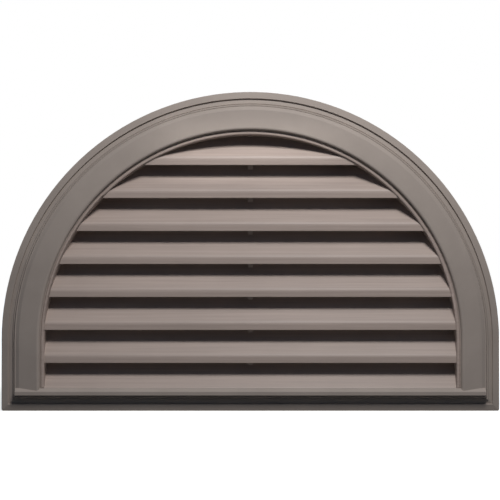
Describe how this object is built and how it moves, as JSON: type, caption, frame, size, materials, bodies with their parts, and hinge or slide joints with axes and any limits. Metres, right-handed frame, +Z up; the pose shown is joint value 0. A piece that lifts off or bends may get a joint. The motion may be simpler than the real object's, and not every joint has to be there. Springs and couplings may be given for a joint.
{
  "type": "gable vent",
  "caption": "Half-round louvred gable vent with a moulded trim surround, a sill bar, a nailing flange and an insect screen behind sloped slats.",
  "frame": {"origin": "centre of the arch on the plane of the wall, which is the back face of the nailing flange", "axes": "+X to the right seen from the front, +Y into the wall, +Z up"},
  "size_m": [0.864, 0.055, 0.5534],
  "materials": {
    "moulded_body": "satin through-coloured warm grey moulding",
    "moulded_trim": "satin through-coloured warm grey moulding",
    "screen_mesh": "dark coated wire mesh"
  },
  "bodies": {
    "root": {"louver_body": "moulded_body", "trim_ring": "moulded_trim", "insect_screen": "screen_mesh"}
  },
  "joints": []
}
